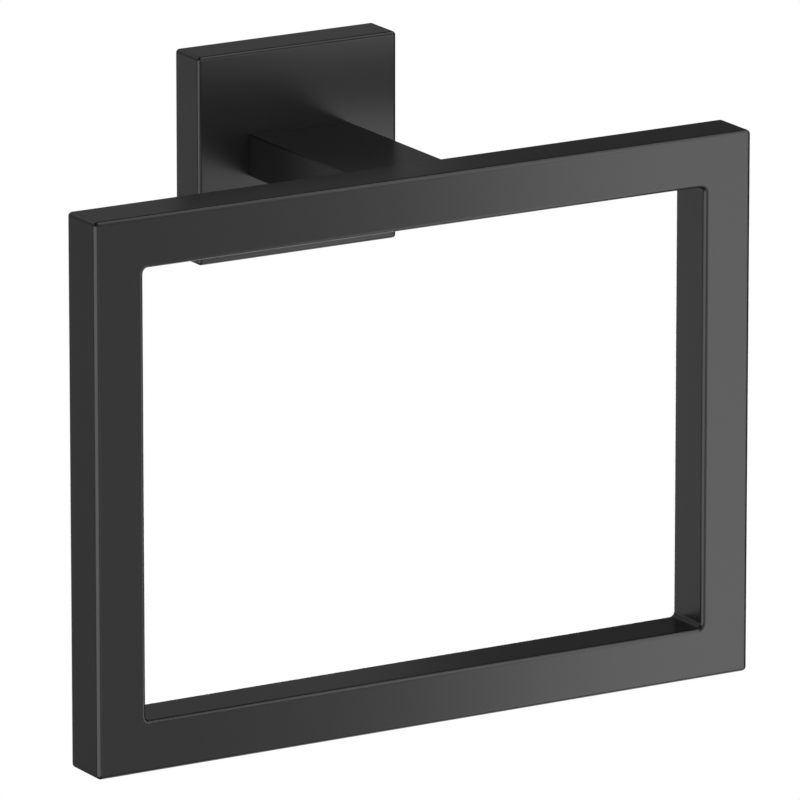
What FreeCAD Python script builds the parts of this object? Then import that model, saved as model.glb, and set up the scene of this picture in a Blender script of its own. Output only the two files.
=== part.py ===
import FreeCAD, Part
import Sketcher
import math
import os
import re

# Towel ring: a closed rectangular frame on a flat post, held by two long screws from inside a
# cover plate, which hooks over a bevelled bracket on the wall. Millimetres, +Z up, +Y into the
# wall. The origin is the middle of the plate's back, in the plane of the wall.

SLIGHT_ANGLE = 10.0

doc = FreeCAD.newDocument("towel_ring")
sheet = doc.addObject("Spreadsheet::Sheet", "sizes")

named_sizes = [
    # the frame that the towel hangs in
    ("ring_wide", 200.0),
    ("ring_high", 150.0),
    ("bar_high", 14.0),
    ("bar_wide", 14.5),
    ("bar_deep", 15.0),
    ("frame_round", 1.2),
    ("opening_round", 1.5),
    # the flat post, a little thinner than the top bar that it carries
    ("post_wide", 30.0),
    ("post_high", 11.6),
    ("post_long", 53.0),
    ("post_round", 0.5),
    # the cover plate, a shallow hollow box open towards the wall
    ("plate_wide", 61.0),
    ("plate_high", 57.0),
    ("plate_thick", 12.0),
    ("plate_web", 3.0),
    ("plate_wall", 2.5),
    ("plate_round", 1.0),
    ("hollow_round", 2.0),
    # the hook under the plate's top wall and the boss over its bottom wall
    ("hook_wide", 30.0),
    ("boss_wide", 11.0),
    ("boss_high", 4.0),
    # the bracket on the wall
    ("bracket_wide", 40.0),
    ("bracket_thick", 5.0),
    ("bracket_bevel", 3.0),
    ("bracket_round", 3.0),
    ("wall_hole_spacing", 24.0),
    ("wall_hole_wide", 4.5),
    ("wall_sink_wide", 9.0),
    ("wall_sink_angle", 90.0),
    # the locking screw in the plate's bottom wall
    ("lock_wide", 5.0),
    ("lock_long", 7.0),
    ("lock_from_wall", 4.0),
    ("lock_tip_wide", 1.8),
    ("lock_socket_wide", 2.5),
    ("lock_socket_deep", 2.5),
    # the two long screws from inside the plate, through the post, into the top bar
    ("screw_wide", 4.0),
    ("screw_bite", 9.0),
    ("screw_spacing", 16.0),
    ("screw_head_wide", 7.6),
    ("screw_head_high", 2.2),
    ("screw_socket_wide", 2.5),
    ("screw_socket_deep", 1.3),
    ("tapped_spare", 1.5),
    ("drill_point_angle", 118.0),
    # clearances
    ("thread_gap", 0.05),
    ("screw_gap", 0.25),
    ("seat_gap", 0.05),
    ("hook_gap", 0.4),
    ("boss_gap", 1.0),
    ("screw_end_break", 0.4),
]
for row, (alias, value) in enumerate(named_sizes, start=1):
    sheet.set("A%d" % row, alias)
    sheet.set("B%d" % row, str(value))
    sheet.setAlias("B%d" % row, alias)
doc.recompute()


def size(alias):
    return float(sheet.get(alias))


names = {alias for alias, value in named_sizes}


def linked(text):
    """The same formula with each size's name led by the sheet's."""
    return re.sub("[a-z_]+", lambda word: "sizes." + word[0] if word[0] in names else word[0], text)


def new_body(label):
    body = doc.addObject("PartDesign::Body", label)
    body.Label = label
    return body


def plane_of(body, role):
    return next(item for item in body.Origin.OriginFeatures if item.Role == role)


def new_sketch(body, name, role, off=None):
    """A sketch on one of the body's own planes, moved along its normal by a formula."""
    sketch = body.newObject("Sketcher::SketchObject", name)
    sketch.AttachmentSupport = [(plane_of(body, role), "")]
    sketch.MapMode = "FlatFace"
    if off:
        sketch.setExpression("AttachmentOffset.Base.z", linked(off))
    return sketch


def draw_outline(sketch, corners):
    """A closed outline of straight lines, each corner held by its two formulas."""
    start = sketch.GeometryCount
    count = len(corners)
    guess = [FreeCAD.Vector(math.cos(turn), math.sin(turn), 0)
             for turn in (-2.3 + 2 * math.pi * step / count for step in range(count))]
    for step in range(count):
        sketch.addGeometry(Part.LineSegment(guess[step], guess[(step + 1) % count]), False)
    for step in range(count):
        after = start + (step + 1) % count
        sketch.addConstraint(Sketcher.Constraint("Coincident", start + step, 2, after, 1))
    for step, (across, upward) in enumerate(corners):
        hold(sketch, "DistanceX", start + step, 1, across)
        hold(sketch, "DistanceY", start + step, 1, upward)


def hold(sketch, kind, piece, point, text):
    """Ties a point to the sketch's origin along one direction."""
    if text == "0":
        other = -2 if kind == "DistanceX" else -1
        sketch.addConstraint(Sketcher.Constraint("PointOnObject", piece, point, other))
        return
    place = sketch.addConstraint(Sketcher.Constraint(kind, -1, 1, piece, point, 1.0))
    sketch.setExpression("Constraints[%d]" % place, linked(text))


def draw_box(sketch, left, right, low, high):
    draw_outline(sketch, [(left, low), (right, low), (right, high), (left, high)])


def draw_circle(sketch, across, upward, wide):
    piece = sketch.addGeometry(Part.Circle(FreeCAD.Vector(1, 1, 0), FreeCAD.Vector(0, 0, 1), 1), False)
    place = sketch.addConstraint(Sketcher.Constraint("Radius", piece, 1.0))
    sketch.setExpression("Constraints[%d]" % place, linked("( %s ) / 2" % wide))
    hold(sketch, "DistanceX", piece, 3, across)
    hold(sketch, "DistanceY", piece, 3, upward)


def draw_hexagon(sketch, across, upward, flats):
    """A hexagon with two level sides, by its width across flats."""
    half = "( %s ) / 2" % flats
    point = "( %s ) / sqrt(3)" % flats
    turns = [(1, 0), (0.5, 1), (-0.5, 1), (-1, 0), (-0.5, -1), (0.5, -1)]
    corners = []
    for side, rise in turns:
        corners.append(("%s + %s * %s" % (across, side, point),
                        upward if rise == 0 else "%s + %s * %s" % (upward, rise, half)))
    draw_outline(sketch, corners)


def add_pad(body, name, sketch, long, both_ways=False):
    pad = body.newObject("PartDesign::Pad", name)
    pad.Profile = sketch
    pad.setExpression("Length", linked(long))
    if both_ways:
        pad.SideType = "Symmetric"
    doc.recompute()
    return pad


def add_pocket(body, name, sketch, long, turned=False):
    """A cut that has to take something away."""
    before = body.Shape.Volume
    pocket = body.newObject("PartDesign::Pocket", name)
    pocket.Profile = sketch
    pocket.Reversed = turned
    pocket.setExpression("Length", linked(long))
    doc.recompute()
    if body.Shape.Volume > before - 0.01:
        raise RuntimeError(name + " cuts nothing")
    return pocket


def add_fillet(body, name, base, wanted, radius):
    """Rounds the edges of the base that the test picks."""
    picked = ["Edge%d" % number for number, edge in enumerate(base.Shape.Edges, start=1) if wanted(edge, base.Shape)]
    if not picked:
        raise RuntimeError(name + " finds no edge")
    fillet = body.newObject("PartDesign::Fillet", name)
    fillet.Base = (base, picked)
    fillet.setExpression("Radius", linked(radius))
    doc.recompute()
    return fillet


def add_holes(body, name, sketch, wide, sizes_of, turned=False, sunk=False):
    """Drilled holes, blind unless they are countersunk right through."""
    before = body.Shape.Volume
    holes = body.newObject("PartDesign::Hole", name)
    holes.Profile = sketch
    doc.recompute()
    holes.ThreadType = "None"
    holes.Reversed = turned
    holes.DepthType = "ThroughAll" if sunk else "Dimension"
    holes.DrillPoint = "Angled"
    holes.HoleCutType = "Countersink" if sunk else "None"
    holes.setExpression("Diameter", linked(wide))
    for part_size, text in sizes_of.items():
        holes.setExpression(part_size, linked(text))
    doc.recompute()
    if body.Shape.Volume > before - 0.01:
        raise RuntimeError(name + " cuts nothing")
    return holes


def near(first, second):
    return abs(first - second) < 0.001


def lies_at(edge, axis, place):
    """True where both ends have this coordinate, axis 0, 1 or 2 being X, Y or Z."""
    return all(near(vertex.Point[axis], place) for vertex in edge.Vertexes)


def is_corner(edge, shape, across, run):
    """True for a straight edge that runs along one axis, this far either side of the middle in X."""
    if edge.Degenerated or not isinstance(edge.Curve, Part.Line):
        return False
    return near(abs(edge.Curve.Direction[run]), 1.0) and near(abs(edge.Vertexes[0].Point.x), across)


def is_sharp(edge, shape):
    """True where the two faces of the edge meet at more than a slight angle."""
    faces = shape.ancestorsOfType(edge, Part.Face)
    if edge.Degenerated or len(faces) != 2:
        return False
    middle = edge.valueAt((edge.FirstParameter + edge.LastParameter) / 2)
    first, second = [face.normalAt(*face.Surface.parameter(middle)) for face in faces]
    return first.getAngle(second) > math.radians(SLIGHT_ANGLE)


# The two long screws lie either side of the middle and bite into the frame beyond the post.
screw_places = ["-screw_spacing / 2", "screw_spacing / 2"]
screw_long = "( plate_web + post_long + screw_bite )"

# Frame, one piece. Its own origin is the middle of the top bar's back, where the post meets it.
towel_ring = new_body("towel_ring")
towel_ring.setExpression("Placement.Base.y", linked("-plate_thick - post_long"))

frame_outline = new_sketch(towel_ring, "frame_outline", "XZ_Plane")
draw_box(frame_outline, "-ring_wide / 2", "ring_wide / 2",
         "bar_high / 2 - ring_high", "bar_high / 2")
draw_box(frame_outline, "-ring_wide / 2 + bar_wide", "ring_wide / 2 - bar_wide",
         "bar_high * 1.5 - ring_high", "-bar_high / 2")
frame = add_pad(towel_ring, "frame", frame_outline, "bar_deep")

opening_side = size("ring_wide") / 2 - size("bar_wide")


def in_opening_corner(edge, shape):
    return is_corner(edge, shape, opening_side, 1)


opening_corners = add_fillet(towel_ring, "opening_corners", frame, in_opening_corner, "opening_round")
add_fillet(towel_ring, "soft_edges", opening_corners, is_sharp, "frame_round")

tapped_places = new_sketch(towel_ring, "tapped_places", "XZ_Plane")
for across in screw_places:
    draw_circle(tapped_places, across, "0", "screw_wide + 2 * thread_gap")
add_holes(towel_ring, "tapped_holes", tapped_places, "screw_wide + 2 * thread_gap", {
    "Depth": "screw_bite + tapped_spare", "DrillPointAngle": "drill_point_angle"}, turned=True)

# Post, a flat bar with its ends cut square, bored from end to end for the two screws.
post = new_body("post")
post.setExpression("Placement.Base.y", linked("-plate_thick"))

post_outline = new_sketch(post, "post_outline", "XZ_Plane")
draw_box(post_outline, "-post_wide / 2", "post_wide / 2", "-post_high / 2", "post_high / 2")
post_bar = add_pad(post, "post_bar", post_outline, "post_long")


def on_post_corner(edge, shape):
    return is_corner(edge, shape, size("post_wide") / 2, 1)


add_fillet(post, "post_edges", post_bar, on_post_corner, "post_round")

bore_places = new_sketch(post, "bore_places", "XZ_Plane")
for across in screw_places:
    draw_circle(bore_places, across, "0", "screw_wide + 2 * screw_gap")
add_pocket(post, "bores", bore_places, "post_long", turned=True)

# Cover plate: a rounded block hollowed from the wall side, with a hook and a boss inside.
wall_plate = new_body("wall_plate")
wall_plate.Placement = FreeCAD.Placement()

plate_outline = new_sketch(wall_plate, "plate_outline", "XZ_Plane")
draw_box(plate_outline, "-plate_wide / 2", "plate_wide / 2", "-plate_high / 2", "plate_high / 2")
plate_block = add_pad(wall_plate, "plate_block", plate_outline, "plate_thick")


def off_the_wall(edge, shape):
    return is_sharp(edge, shape) and not lies_at(edge, 1, 0)


add_fillet(wall_plate, "plate_edges", plate_block, off_the_wall, "plate_round")

hollow_outline = new_sketch(wall_plate, "hollow_outline", "XZ_Plane")
draw_box(hollow_outline, "-plate_wide / 2 + plate_wall", "plate_wide / 2 - plate_wall",
         "-plate_high / 2 + plate_wall", "plate_high / 2 - plate_wall")
hollow = add_pocket(wall_plate, "hollow", hollow_outline, "plate_thick - plate_web", turned=True)

hollow_side = size("plate_wide") / 2 - size("plate_wall")


def in_hollow_corner(edge, shape):
    return is_corner(edge, shape, hollow_side, 1)


add_fillet(wall_plate, "hollow_corners", hollow, in_hollow_corner, "hollow_round")

# The hook's slope lies along the bracket's upper bevel, a seat's clearance above it.
hook_drop = "( bracket_bevel + hook_gap - seat_gap )"
hook_profile = new_sketch(wall_plate, "hook_profile", "YZ_Plane")
draw_outline(hook_profile, [
    ("0", "plate_high / 2 - plate_wall"),
    ("-bracket_thick * %s / bracket_bevel" % hook_drop, "plate_high / 2 - plate_wall"),
    ("0", "plate_high / 2 - plate_wall - " + hook_drop),
])
add_pad(wall_plate, "hook", hook_profile, "hook_wide", both_ways=True)

boss_outline = new_sketch(wall_plate, "boss_outline", "XZ_Plane")
draw_box(boss_outline, "-boss_wide / 2", "boss_wide / 2",
         "-plate_high / 2 + plate_wall / 2", "-plate_high / 2 + plate_wall + boss_high")
add_pad(wall_plate, "boss", boss_outline, "plate_thick - plate_web / 2")

lock_place = new_sketch(wall_plate, "lock_place", "XY_Plane", "-plate_high / 2")
draw_circle(lock_place, "0", "-lock_from_wall", "lock_wide + 2 * thread_gap")
add_pocket(wall_plate, "lock_hole", lock_place, "plate_wall + boss_high", turned=True)

clear_places = new_sketch(wall_plate, "clear_places", "XZ_Plane", "plate_thick - plate_web")
for across in screw_places:
    draw_circle(clear_places, across, "0", "screw_wide + 2 * screw_gap")
add_pocket(wall_plate, "clear_holes", clear_places, "plate_web", turned=True)

# Bracket: a bevelled bar's slice, taller at its front, so that the plate is drawn to the wall.
wall_bracket = new_body("wall_bracket")
wall_bracket.Placement = FreeCAD.Placement()

bracket_top = "plate_high / 2 - plate_wall - hook_gap"
bracket_low = "-plate_high / 2 + plate_wall + boss_high + boss_gap"
bracket_profile = new_sketch(wall_bracket, "bracket_profile", "YZ_Plane")
draw_outline(bracket_profile, [
    ("0", bracket_low + " + bracket_bevel"),
    ("0", bracket_top + " - bracket_bevel"),
    ("-bracket_thick", bracket_top),
    ("-bracket_thick", bracket_low),
])
bracket_bar = add_pad(wall_bracket, "bracket_bar", bracket_profile, "bracket_wide", both_ways=True)


def on_bracket_corner(edge, shape):
    start, finish = [vertex.Point for vertex in edge.Vertexes]
    at_side = near(abs(start.x), size("bracket_wide") / 2) and near(start.x, finish.x)
    return at_side and not near(start.y, finish.y)


add_fillet(wall_bracket, "bracket_corners", bracket_bar, on_bracket_corner, "bracket_round")

sink_places = new_sketch(wall_bracket, "sink_places", "XZ_Plane", "bracket_thick")
for upward in ("-wall_hole_spacing / 2", "wall_hole_spacing / 2"):
    draw_circle(sink_places, "0", upward, "wall_hole_wide")
add_holes(wall_bracket, "wall_holes", sink_places, "wall_hole_wide", {
    "HoleCutDiameter": "wall_sink_wide", "HoleCutCountersinkAngle": "wall_sink_angle"}, sunk=True)

# Locking screw: headless, its point on the bracket's lower bevel, its socket facing down.
tip_height = (bracket_low + " + bracket_bevel - bracket_bevel * "
              "( lock_from_wall + lock_tip_wide / 2 ) / bracket_thick - seat_gap")
set_screw = new_body("set_screw")
set_screw.setExpression("Placement.Base.y", linked("-lock_from_wall"))
set_screw.setExpression("Placement.Base.z", linked(tip_height))

lock_profile = new_sketch(set_screw, "lock_profile", "XZ_Plane")
draw_outline(lock_profile, [
    ("0", "-lock_long"),
    ("lock_wide / 2 - screw_end_break", "-lock_long"),
    ("lock_wide / 2", "-lock_long + screw_end_break"),
    ("lock_wide / 2", "( lock_tip_wide - lock_wide ) / 2"),
    ("lock_tip_wide / 2", "0"),
    ("0", "0"),
])
lock_turned = set_screw.newObject("PartDesign::Revolution", "lock_turned")
lock_turned.Profile = lock_profile
lock_turned.ReferenceAxis = (plane_of(set_screw, "Z_Axis"), [""])
lock_turned.Angle = 360
doc.recompute()
lock_socket = new_sketch(set_screw, "lock_socket", "XY_Plane", "-lock_long")
draw_hexagon(lock_socket, "0", "0", "lock_socket_wide")
add_pocket(set_screw, "lock_recess", lock_socket, "lock_socket_deep", turned=True)

# Long screws: one turned and broached, the other its mirror image.
tie_screw = new_body("tie_screw")
tie_screw.setExpression("Placement.Base.x", linked("screw_spacing / 2"))
tie_screw.setExpression("Placement.Base.y", linked("-plate_thick + plate_web"))

head_profile = new_sketch(tie_screw, "head_profile", "XY_Plane")
draw_outline(head_profile, [
    ("0", "screw_head_high"),
    ("screw_head_wide / 4", "screw_head_high"),
    ("screw_head_wide / 2", "screw_head_high / 3"),
    ("screw_head_wide / 2", "0"),
    ("screw_wide / 2", "0"),
    ("screw_wide / 2", "screw_end_break - " + screw_long),
    ("screw_wide / 2 - screw_end_break", "-" + screw_long),
    ("0", "-" + screw_long),
])
screw_turned = tie_screw.newObject("PartDesign::Revolution", "screw_turned")
screw_turned.Profile = head_profile
screw_turned.ReferenceAxis = (plane_of(tie_screw, "Y_Axis"), [""])
screw_turned.Angle = 360
doc.recompute()
screw_socket = new_sketch(tie_screw, "screw_socket", "XZ_Plane", "-screw_head_high")
draw_hexagon(screw_socket, "0", "0", "screw_socket_wide")
add_pocket(tie_screw, "screw_recess", screw_socket, "screw_socket_deep", turned=True)

other_screw = doc.addObject("Part::Mirroring", "other_screw")
other_screw.Source = tie_screw
other_screw.Normal = FreeCAD.Vector(1, 0, 0)
tie_screws = doc.addObject("Part::Compound", "tie_screws")
tie_screws.Label = "tie_screws"
tie_screws.Links = [tie_screw, other_screw]

doc.recompute()
for item in doc.Objects:
    if "Invalid" in item.State or "Error" in item.State:
        raise RuntimeError(item.Name + " has failed")

nodes = [towel_ring, post, wall_plate, wall_bracket, set_screw, tie_screws]
for node in nodes:
    if node.Shape.isNull() or not node.Shape.isValid() or not node.Shape.Solids:
        raise RuntimeError(node.Label + " has no sound solid")

os.makedirs("parts", exist_ok=True)
for node in nodes:
    node.Shape.exportStep("parts/" + node.Label + ".step")
    print(node.Label, len(node.Shape.Solids), round(node.Shape.Volume, 1))
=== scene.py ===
import math

import bpy
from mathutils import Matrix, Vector


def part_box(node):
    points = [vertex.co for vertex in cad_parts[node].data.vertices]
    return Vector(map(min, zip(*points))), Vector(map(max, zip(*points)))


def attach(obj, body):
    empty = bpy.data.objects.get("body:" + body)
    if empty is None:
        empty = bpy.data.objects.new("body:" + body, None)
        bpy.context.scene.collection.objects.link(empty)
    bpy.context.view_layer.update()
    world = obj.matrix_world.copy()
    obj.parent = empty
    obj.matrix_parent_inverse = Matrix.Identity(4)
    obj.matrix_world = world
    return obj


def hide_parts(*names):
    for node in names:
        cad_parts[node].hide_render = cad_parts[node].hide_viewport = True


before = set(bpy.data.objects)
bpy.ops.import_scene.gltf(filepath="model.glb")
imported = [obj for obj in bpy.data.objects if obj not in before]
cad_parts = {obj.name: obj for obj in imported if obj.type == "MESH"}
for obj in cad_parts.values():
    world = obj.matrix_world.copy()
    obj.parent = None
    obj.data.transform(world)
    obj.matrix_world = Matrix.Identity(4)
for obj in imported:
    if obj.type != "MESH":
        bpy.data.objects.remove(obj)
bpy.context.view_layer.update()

MM = 0.001
WHITE = (1.0, 1.0, 1.0, 1.0)
COATED = ("towel_ring", "post", "wall_plate")


def linear(hex_colour):
    """An sRGB hex colour as linear values, with full alpha."""
    parts = [int(hex_colour[place:place + 2], 16) / 255 for place in (1, 3, 5)]
    turned = [part / 12.92 if part <= 0.04045 else ((part + 0.055) / 1.055) ** 2.4 for part in parts]
    return (*turned, 1.0)


def add_node(tree, kind, settings=None, inputs=None):
    """A node with its settings. An input is a value, or the output of another node that feeds it."""
    node = tree.nodes.new(kind)
    for name, value in (settings or {}).items():
        setattr(node, name, value)
    for name, value in (inputs or {}).items():
        if isinstance(value, bpy.types.NodeSocket):
            tree.links.new(value, node.inputs[name])
        else:
            node.inputs[name].default_value = value
    return node


def new_finish(name):
    material = bpy.data.materials.new(name)
    material.use_nodes = True
    material.node_tree.nodes.clear()
    return material, material.node_tree


def close_finish(tree, shader):
    add_node(tree, "ShaderNodeOutputMaterial", inputs={"Surface": shader.outputs[0]})


# Satin black powder coat, sprayed dry on die-cast zinc and baked: a black skin that blurs what it
# mirrors. The powder flows together in ripples about 1.6 mm across, too low to see one by one, and
# leaves a grain of 0.3 mm that only breaks the gloss a little.
RIPPLE = 1.6 * MM
RIPPLE_HEIGHT = 0.02 * MM
GRAIN = 0.3 * MM
GRAIN_HEIGHT = 0.004 * MM


def satin_black_coat():
    material, tree = new_finish("satin_black_powder_coat")
    place = add_node(tree, "ShaderNodeTexCoord").outputs["Object"]
    ripple = add_node(tree, "ShaderNodeTexNoise", inputs={
        "Vector": place, "Scale": 1 / RIPPLE, "Detail": 2.0, "Roughness": 0.5}).outputs["Fac"]
    grain = add_node(tree, "ShaderNodeTexNoise", inputs={
        "Vector": place, "Scale": 1 / GRAIN, "Detail": 1.0, "Roughness": 0.6}).outputs["Fac"]
    low = add_node(tree, "ShaderNodeBump", inputs={
        "Height": ripple, "Strength": 0.08, "Distance": RIPPLE_HEIGHT}).outputs["Normal"]
    fine = add_node(tree, "ShaderNodeBump", inputs={
        "Height": grain, "Normal": low, "Strength": 0.05, "Distance": GRAIN_HEIGHT}).outputs["Normal"]
    shade = add_node(tree, "ShaderNodeMix", {"data_type": "RGBA"}, {
        0: grain, 6: linear("#131314"), 7: linear("#171718")}).outputs[2]
    gloss = add_node(tree, "ShaderNodeMapRange", inputs={
        "Value": grain, "To Min": 0.27, "To Max": 0.33}).outputs["Result"]
    shader = add_node(tree, "ShaderNodeBsdfPrincipled", inputs={
        "Base Color": shade, "Roughness": gloss, "Normal": fine, "IOR": 1.5})
    close_finish(tree, shader)
    return material


# Zinc plated and clear passivated steel: a bright, faintly blue metal whose cloudy bath marks are
# about 5 mm across, over the fine lines that rolling drew along the bar.
CLOUD = 5.0 * MM
ROLLED_LINE = 0.25 * MM
ROLLED_HEIGHT = 0.01 * MM
ROLLED_STRETCH = (0.06, 1.0, 1.0)


def zinc_plating():
    material, tree = new_finish("clear_zinc_plating")
    place = add_node(tree, "ShaderNodeTexCoord").outputs["Object"]
    along = add_node(tree, "ShaderNodeMapping", inputs={
        "Vector": place, "Scale": ROLLED_STRETCH}).outputs["Vector"]
    clouds = add_node(tree, "ShaderNodeTexNoise", inputs={
        "Vector": place, "Scale": 1 / CLOUD, "Detail": 4.0, "Roughness": 0.6,
        "Distortion": 0.4}).outputs["Fac"]
    lines = add_node(tree, "ShaderNodeTexNoise", inputs={
        "Vector": along, "Scale": 1 / ROLLED_LINE, "Detail": 2.0, "Roughness": 0.5}).outputs["Fac"]
    shade = add_node(tree, "ShaderNodeMix", {"data_type": "RGBA"}, {
        0: clouds, 6: linear("#a9aeb5"), 7: linear("#cccecd")}).outputs[2]
    gloss = add_node(tree, "ShaderNodeMapRange", inputs={
        "Value": clouds, "To Min": 0.28, "To Max": 0.46}).outputs["Result"]
    bump = add_node(tree, "ShaderNodeBump", inputs={
        "Height": lines, "Strength": 0.25, "Distance": ROLLED_HEIGHT}).outputs["Normal"]
    shader = add_node(tree, "ShaderNodeBsdfPrincipled", inputs={
        "Base Color": shade, "Roughness": gloss, "Normal": bump, "Metallic": 1.0})
    close_finish(tree, shader)
    return material


coat = satin_black_coat()
plating = zinc_plating()
for name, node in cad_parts.items():
    node.data.materials.clear()
    node.data.materials.append(coat if name in COATED else plating)

# How steeply the thread's flanks rise over half a pitch, and how far under the root they start,
# which leaves a flat in the root and a narrower one along the crest.
FLANK_RISE = 2.6
FLANK_START = -0.18
SHARP_BEND = math.radians(40)
WELD = 0.002 * MM


def screw_tree():
    """Turns an outline of stations into screws, with one column of points for each step round.

    A station holds its radius in X and its height in Z. Its Y is 0 where the screw is round, 1
    where the thread is cut and -1 in the hexagonal socket, whose radius is half its flats.
    """
    tree = bpy.data.node_groups.new("cut_screws", "GeometryNodeTree")
    face = tree.interface
    face.new_socket("Outline", in_out="INPUT", socket_type="NodeSocketGeometry")
    for name, kind in (("Steps around", "Int"), ("Pitch", "Float"), ("Thread depth", "Float"),
                       ("Count", "Int"), ("First place", "Vector"), ("Spacing", "Vector"),
                       ("Turn", "Rotation"), ("Finish", "Material")):
        face.new_socket(name, in_out="INPUT", socket_type="NodeSocket" + kind)
    face.new_socket("Screws", in_out="OUTPUT", socket_type="NodeSocketGeometry")
    given = add_node(tree, "NodeGroupInput").outputs

    # a flat sheet of points, one row for each station, with one more column to close the turn
    stations = add_node(tree, "GeometryNodeAttributeDomainSize", inputs={
        "Geometry": given["Outline"]}).outputs["Point Count"]
    columns = add_node(tree, "ShaderNodeMath", {"operation": "ADD"}, {
        0: given["Steps around"], 1: 1.0}).outputs[0]
    sheet = add_node(tree, "GeometryNodeMeshGrid", inputs={
        "Size X": 1.0, "Size Y": 1.0, "Vertices X": columns, "Vertices Y": stations}).outputs["Mesh"]
    place = add_node(tree, "GeometryNodeInputPosition").outputs["Position"]
    flat = add_node(tree, "ShaderNodeSeparateXYZ", inputs={"Vector": place}).outputs
    up = add_node(tree, "ShaderNodeMath", {"operation": "ADD"}, {0: flat["Y"], 1: 0.5}).outputs[0]
    last = add_node(tree, "ShaderNodeMath", {"operation": "SUBTRACT"}, {0: stations, 1: 1.0}).outputs[0]
    row = add_node(tree, "ShaderNodeMath", {"operation": "MULTIPLY"}, {0: up, 1: last}).outputs[0]
    whole_row = add_node(tree, "ShaderNodeMath", {"operation": "ROUND"}, {0: row}).outputs[0]
    station = add_node(tree, "GeometryNodeSampleIndex", {
        "data_type": "FLOAT_VECTOR", "domain": "POINT"}, {
        "Geometry": given["Outline"], "Value": place, "Index": whole_row}).outputs["Value"]
    here = add_node(tree, "ShaderNodeSeparateXYZ", inputs={"Vector": station}).outputs

    # the sums that shape it, each from named values: the thread's ridge runs from 0 in the root to
    # 1 along its crest, and the hexagon has a corner on the first column
    sixth = math.tau / 6
    known = {"column": flat["X"], "radius": here["X"], "kind": here["Y"], "height": here["Z"],
             "pitch": given["Pitch"], "depth": given["Thread depth"]}
    for made, operation, *terms in (
            ("around", "ADD", "column", 0.5),
            ("angle", "MULTIPLY", "around", math.tau),
            ("pitches", "DIVIDE", "height", "pitch"),
            ("climb", "SUBTRACT", "pitches", "around"),
            ("wave", "FRACT", "climb"),
            ("off_middle", "SUBTRACT", "wave", 0.5),
            ("slope", "ABSOLUTE", "off_middle"),
            ("raised", "MULTIPLY_ADD", "slope", FLANK_RISE, FLANK_START),
            ("not_under", "MAXIMUM", "raised", 0.0),
            ("ridge", "MINIMUM", "not_under", 1.0),
            ("valley", "SUBTRACT", 1.0, "ridge"),
            ("threaded", "MAXIMUM", "kind", 0.0),
            ("full_cut", "MULTIPLY", "threaded", "depth"),
            ("cut", "MULTIPLY", "full_cut", "valley"),
            ("turned", "SUBTRACT", "radius", "cut"),
            ("on_flat", "FLOORED_MODULO", "angle", sixth),
            ("off_flat", "SUBTRACT", "on_flat", sixth / 2),
            ("shorter", "COSINE", "off_flat"),
            ("cornered", "DIVIDE", "radius", "shorter"),
            ("hexagonal", "MULTIPLY", "kind", -1.0),
            ("in_socket", "MAXIMUM", "hexagonal", 0.0),
            ("wider", "SUBTRACT", "cornered", "turned"),
            ("reach", "MULTIPLY_ADD", "wider", "in_socket", "turned"),
            ("cosine", "COSINE", "angle"),
            ("sine", "SINE", "angle"),
            ("x", "MULTIPLY", "reach", "cosine"),
            ("y", "MULTIPLY", "reach", "sine")):
        known[made] = add_node(tree, "ShaderNodeMath", {"operation": operation}, {
            place_in: known.get(term, term) for place_in, term in enumerate(terms)}).outputs[0]

    formed = add_node(tree, "ShaderNodeCombineXYZ", inputs={
        "X": known["x"], "Y": known["y"], "Z": known["height"]}).outputs["Vector"]
    wrapped = add_node(tree, "GeometryNodeSetPosition", inputs={
        "Geometry": sheet, "Position": formed}).outputs["Geometry"]
    closed = add_node(tree, "GeometryNodeMergeByDistance", inputs={
        "Geometry": wrapped, "Distance": WELD}).outputs["Geometry"]
    smooth = add_node(tree, "GeometryNodeSetShadeSmooth", {"domain": "FACE"}, {
        "Geometry": closed}).outputs["Geometry"]
    bend = add_node(tree, "GeometryNodeInputMeshEdgeAngle").outputs["Unsigned Angle"]
    sharp = add_node(tree, "ShaderNodeMath", {"operation": "GREATER_THAN"}, {
        0: bend, 1: SHARP_BEND}).outputs[0]
    crisp = add_node(tree, "GeometryNodeSetShadeSmooth", {"domain": "EDGE"}, {
        "Geometry": smooth, "Selection": sharp, "Shade Smooth": False}).outputs["Geometry"]
    places = add_node(tree, "GeometryNodeMeshLine", {"mode": "OFFSET"}, {
        "Count": given["Count"], "Start Location": given["First place"],
        "Offset": given["Spacing"]}).outputs["Mesh"]
    hung = add_node(tree, "GeometryNodeInstanceOnPoints", inputs={
        "Points": places, "Instance": crisp, "Rotation": given["Turn"]}).outputs["Instances"]
    real = add_node(tree, "GeometryNodeRealizeInstances", inputs={"Geometry": hung}).outputs["Geometry"]
    plated = add_node(tree, "GeometryNodeSetMaterial", inputs={
        "Geometry": real, "Material": given["Finish"]}).outputs["Geometry"]
    add_node(tree, "NodeGroupOutput", inputs={"Screws": plated})
    return tree


screws_from_outlines = screw_tree()

STATIONS_TO_A_PITCH = 7


def thread_stations(low, high, radius, pitch, run_out):
    """Stations along a thread, whose depth fades over the last stretch where there is a run-out."""
    count = math.ceil((high - low) / pitch * STATIONS_TO_A_PITCH)
    heights = [low + (high - low) * step / count for step in range(count + 1)]
    return [(radius, min(1.0, (high - height) / run_out) if run_out else 1.0, height)
            for height in heights]


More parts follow.
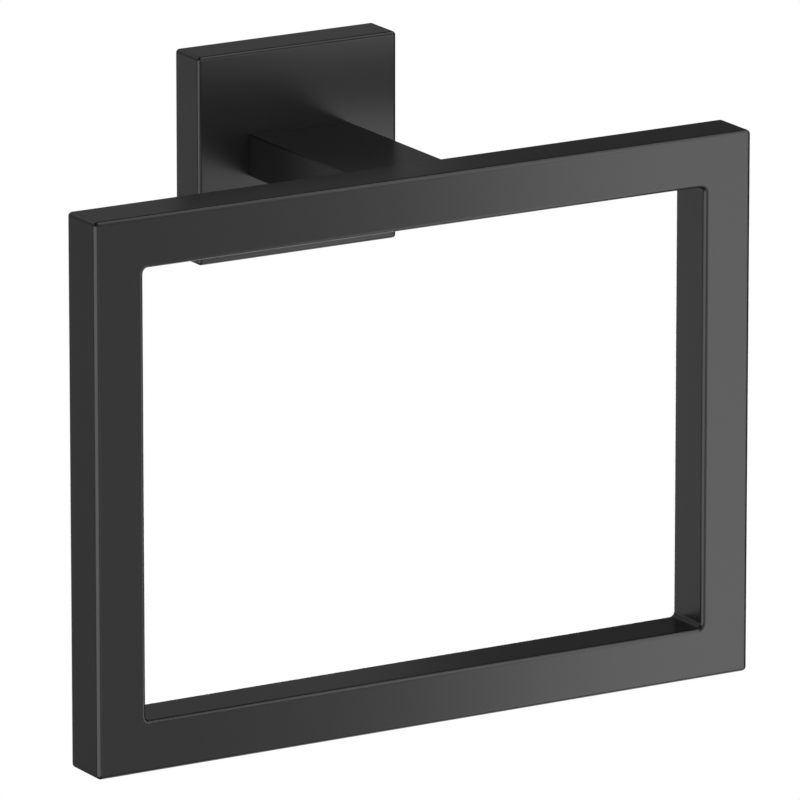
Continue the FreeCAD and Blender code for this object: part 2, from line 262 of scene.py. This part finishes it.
def cut_screws(name, node_name, stations, settings):
    """One plain mesh of the screws that stand for a CAD node. Stations are in millimetres."""
    outline = bpy.data.meshes.new(name + "_outline")
    points = [(radius * MM, kind, height * MM) for radius, kind, height in stations]
    outline.from_pydata(points, [(place, place + 1) for place in range(len(points) - 1)], [])
    maker = bpy.data.objects.new(name + "_maker", outline)
    bpy.context.collection.objects.link(maker)
    modifier = maker.modifiers.new("cut", "NODES")
    modifier.node_group = screws_from_outlines
    for item in screws_from_outlines.interface.items_tree:
        if item.in_out == "INPUT" and item.name in settings:
            modifier[item.identifier] = settings[item.name]
    made = bpy.data.meshes.new_from_object(maker.evaluated_get(bpy.context.evaluated_depsgraph_get()))
    maker.modifiers.remove(modifier)
    bpy.data.objects.remove(maker)
    made.materials.clear()
    made.materials.append(plating)
    made.name = name
    piece = bpy.data.objects.new(name, made)
    bpy.context.collection.objects.link(piece)
    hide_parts(node_name)
    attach(piece, "root")


# The two long M4 screws: button heads in the hollow plate, thread over the end that bites the
# frame. Heights are from under the head, which is the end nearest the wall.
TIE_STEPS = 36
TIE_RADIUS = 2.0
TIE_PITCH = 0.7
TIE_DEPTH = 0.43
TIE_THREAD = 24.0
TIE_RUN_OUT = 1.4
TIE_END_BREAK = 0.4
TIE_HEAD = 2.2
TIE_HEAD_RADIUS = 3.8
TIE_KEY = 1.25
TIE_KEY_DEEP = 1.3
tie_low, tie_high = [Vector(corner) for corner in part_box("tie_screws")]
tie_tip = TIE_HEAD - (tie_high.y - tie_low.y) / MM
# the flat end and its broken rim, then the thread
tie_stations = [(0.0, 0, tie_tip), (TIE_RADIUS - 2 * TIE_END_BREAK, 0, tie_tip),
                (TIE_RADIUS - TIE_END_BREAK, 0, tie_tip)]
tie_stations += thread_stations(
    tie_tip + TIE_END_BREAK, tie_tip + TIE_THREAD, TIE_RADIUS, TIE_PITCH, TIE_RUN_OUT)
# the plain shank, and the small round that joins it to the head
tie_stations += [(TIE_RADIUS, 0, -20), (TIE_RADIUS, 0, -0.3), (2.12, 0, -0.08), (2.2, 0, 0)]
# the button head, by how far it draws in from its rim as it rises
tie_stations += [(TIE_HEAD_RADIUS - inward, 0, height) for inward, height in (
    (0.15, 0.0), (0.04, 0.05), (0.0, 0.17), (0.0, 0.62), (0.05, 0.76), (0.55, 1.18), (1.1, 1.58),
    (1.72, 2.05), (1.95, 2.18), (2.1, TIE_HEAD))]
# its socket, with a broken rim and a drilled point at the bottom
tie_stations += [(TIE_KEY + 0.11, -1, TIE_HEAD), (TIE_KEY, -1, TIE_HEAD - 0.12),
                 (TIE_KEY, -1, TIE_HEAD - TIE_KEY_DEEP), (0.0, 0, TIE_HEAD - TIE_KEY_DEEP - 0.25)]
tie_middle = (tie_low + tie_high) / 2
tie_apart = (tie_high.x - tie_low.x) - 2 * TIE_HEAD_RADIUS * MM
cut_screws("tie_screws_threaded", "tie_screws", tie_stations, {
    "Steps around": TIE_STEPS, "Pitch": TIE_PITCH * MM, "Thread depth": TIE_DEPTH * MM, "Count": 2,
    "First place": (tie_middle.x - tie_apart / 2, tie_high.y - TIE_HEAD * MM, tie_middle.z),
    "Spacing": (tie_apart, 0.0, 0.0), "Turn": (-math.pi / 2, 0.0, 0.0), "Finish": plating})

# The M5 locking screw: a flat point on the bracket's bevel, its socket facing the ground. Heights
# are from its point, and its stations run out of the socket and up the thread.
LOCK_STEPS = 48
LOCK_RADIUS = 2.5
LOCK_PITCH = 0.8
LOCK_DEPTH = 0.49
LOCK_END_BREAK = 0.4
LOCK_CONE = 1.6
LOCK_KEY = 1.25
LOCK_KEY_DEEP = 2.5
lock_low, lock_high = [Vector(corner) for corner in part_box("set_screw")]
lock_end = (lock_low.z - lock_high.z) / MM
# the socket's drilled point, its walls and its broken rim, then the flat end round it
lock_stations = [(0.0, 0, lock_end + LOCK_KEY_DEEP + 0.3), (LOCK_KEY, -1, lock_end + LOCK_KEY_DEEP),
                 (LOCK_KEY, -1, lock_end + 0.12), (LOCK_KEY + 0.12, -1, lock_end),
                 (2.02, 0, lock_end), (2.08, 0, lock_end + 0.02)]
lock_stations += thread_stations(
    lock_end + LOCK_END_BREAK, -LOCK_CONE, LOCK_RADIUS, LOCK_PITCH, 0)
# the cone and its flat point
lock_stations += [(2.0, 0, -1.1), (0.9, 0, -0.04), (0.82, 0, 0.0), (0.0, 0, 0.0)]
lock_middle = (lock_low + lock_high) / 2
cut_screws("set_screw_threaded", "set_screw", lock_stations, {
    "Steps around": LOCK_STEPS, "Pitch": LOCK_PITCH * MM, "Thread depth": LOCK_DEPTH * MM, "Count": 1,
    "First place": (lock_middle.x, lock_middle.y, lock_high.z), "Spacing": (0.0, 0.0, 0.0),
    "Turn": (0.0, 0.0, 0.0), "Finish": plating})

FLOOR_HEIGHT = -0.32
FLOOR_HALF = 15.0


def stand_floor():
    """A plain pale floor, lit by itself so that it stays even and white."""
    corners = [(x * FLOOR_HALF, y * FLOOR_HALF, FLOOR_HEIGHT)
               for x, y in ((-1, -1), (1, -1), (1, 1), (-1, 1))]
    mesh = bpy.data.meshes.new("floor")
    mesh.from_pydata(corners, [], [(0, 1, 2, 3)])
    floor = bpy.data.objects.new("floor", mesh)
    bpy.context.collection.objects.link(floor)
    material, tree = new_finish("pale_floor")
    shader = add_node(tree, "ShaderNodeEmission", inputs={"Color": WHITE, "Strength": 1.0})
    close_finish(tree, shader)
    mesh.materials.append(material)
    floor.visible_glossy = False
    floor.visible_diffuse = False
    floor.visible_shadow = False


# Soft boxes of even brightness: place, what it faces, width, height and brightness. Where pieces
# are named, the box reaches them alone, as if flags shaded the others from it.
CARDS = {
    # its left edge is what fades across the front faces, a little softer on the plate
    "front_card": ((0.2302, -0.305, -0.128), (0.0532, -0.006, -0.035), 0.13, 0.47, 2.44,
                   "towel_ring", "post"),
    "plate_card": ((0.2302, -0.305, -0.128), (0.0532, -0.006, -0.035), 0.13, 0.47, 2.15, "wall_plate"),
    "front_fill": ((0.22, -0.68, -0.25), (-0.06, -0.08, -0.068), 1.0, 0.8, 0.51),
    # the lines of light along the ring's upper front edge
    "front_upper": ((0.285, -0.395, 0.263), (0.108, -0.096, 0.356), 0.15, 0.34, 3.3, "towel_ring"),
    "fill_upper": ((0.22, -0.68, 0.5), (-0.06, -0.08, 0.0), 1.0, 0.6, 0.35, "towel_ring"),
    "top_card": ((0.44, -0.18, 0.62), (0.07, -0.08, 0.0), 0.6, 0.7, 1.6),
    # the softer light beside the line down the right bar's inner edge
    "edge_front": ((0.02, -0.68, -0.22), (0.02, -0.08, -0.068), 0.14, 0.6, 1.0, "towel_ring"),
    # a little more on the plate's front
    "plate_light": ((0.18, -0.95, 0.35), (0.0, -0.012, 0.0), 0.4, 0.4, 3.6, "wall_plate"),
    # the line of light down the front left edges
    "left_card": ((-0.62, -0.3, -0.22), (-0.05, -0.08, -0.068), 1.1, 0.6, 2.4),
    # what the left faces mirror
    "back_left": ((-0.28, 0.36, -0.08), (-0.1, -0.07, -0.05), 0.62, 0.5, 0.19),
    "back_low": ((-0.085, 0.34, -0.2), (0.095, -0.07, -0.068), 0.22, 0.34, 0.35),
    "back_upper": ((-0.24, 0.36, 0.36), (-0.06, -0.07, 0.0), 0.6, 0.36, 0.46),
    # what the upper faces mirror, brighter to the left
    "back_top": ((0.103, 0.4, 0.08), (-0.077, -0.07, -0.05), 0.316, 0.42, 0.144),
    "back_right": ((0.44, 0.38, 0.06), (0.2, -0.07, -0.05), 0.36, 0.44, 0.036),
    # what the plate mirrors off the back of the top bar
    "bar_back": ((0.49, 0.688, -0.251), (0.055, -0.065, -0.005), 0.5, 0.24, 6.0, "towel_ring"),
    # what shows the back and the undersides
    "behind": ((0.1, 2.5, -0.5), (0.0, 0.0, -0.05), 1.2, 1.0, 1.0),
    "low_card": ((0.35, 0.1, -0.62), (0.0, -0.06, -0.07), 0.6, 0.5, 1.2),
}


def hang_light(name, place, aim, wide, high, radiance, *reached):
    """A soft box seen only by what it lights."""
    light = bpy.data.lights.new(name, "AREA")
    light.shape = "RECTANGLE"
    light.size = wide
    light.size_y = high
    light.energy = radiance * math.pi * wide * high
    holder = bpy.data.objects.new(name, light)
    holder.location = place
    holder.rotation_mode = "QUATERNION"
    holder.rotation_quaternion = (Vector(aim) - Vector(place)).to_track_quat("-Z", "Y")
    holder.visible_camera = False
    bpy.context.collection.objects.link(holder)
    if reached:
        lit = bpy.data.collections.new(name + "_lit")
        for piece in reached:
            lit.objects.link(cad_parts[piece])
        holder.light_linking.receiver_collection = lit


GLOW = 0.05


def set_world():
    """White behind the object, and a dim even glow on it."""
    world = bpy.data.worlds.new("studio")
    bpy.context.scene.world = world
    world.use_nodes = True
    tree = world.node_tree
    tree.nodes.clear()
    seen = add_node(tree, "ShaderNodeBackground", inputs={"Color": WHITE, "Strength": 1.0})
    felt = add_node(tree, "ShaderNodeBackground", inputs={"Color": WHITE, "Strength": GLOW})
    path = add_node(tree, "ShaderNodeLightPath")
    mix = add_node(tree, "ShaderNodeMixShader", inputs={
        0: path.outputs["Is Camera Ray"], 1: felt.outputs[0], 2: seen.outputs[0]})
    add_node(tree, "ShaderNodeOutputWorld", inputs={"Surface": mix.outputs[0]})


CAMERA_PLACE = (-1.493534, -2.589631, 0.731059)
CAMERA_TILT = 0.26252330
CAMERA_TURN = 0.53426235
CAMERA_LENS = 517.25
CAMERA_SENSOR = 36.0


def place_camera():
    """A long lens from the left and a little above, which keeps the edges nearly parallel."""
    lens = bpy.data.cameras.new("camera")
    lens.sensor_width = CAMERA_SENSOR
    lens.lens = CAMERA_LENS
    lens.clip_start = 0.5
    lens.clip_end = 60.0
    camera = bpy.data.objects.new("camera", lens)
    camera.location = CAMERA_PLACE
    camera.rotation_euler = (math.pi / 2 - CAMERA_TILT, 0.0, -CAMERA_TURN)
    bpy.context.collection.objects.link(camera)
    bpy.context.scene.camera = camera


set_world()
place_camera()
stand_floor()
for name, card in CARDS.items():
    hang_light(name, *card)
bpy.context.scene.view_settings.view_transform = "Standard"
bpy.context.scene.view_settings.look = "None"
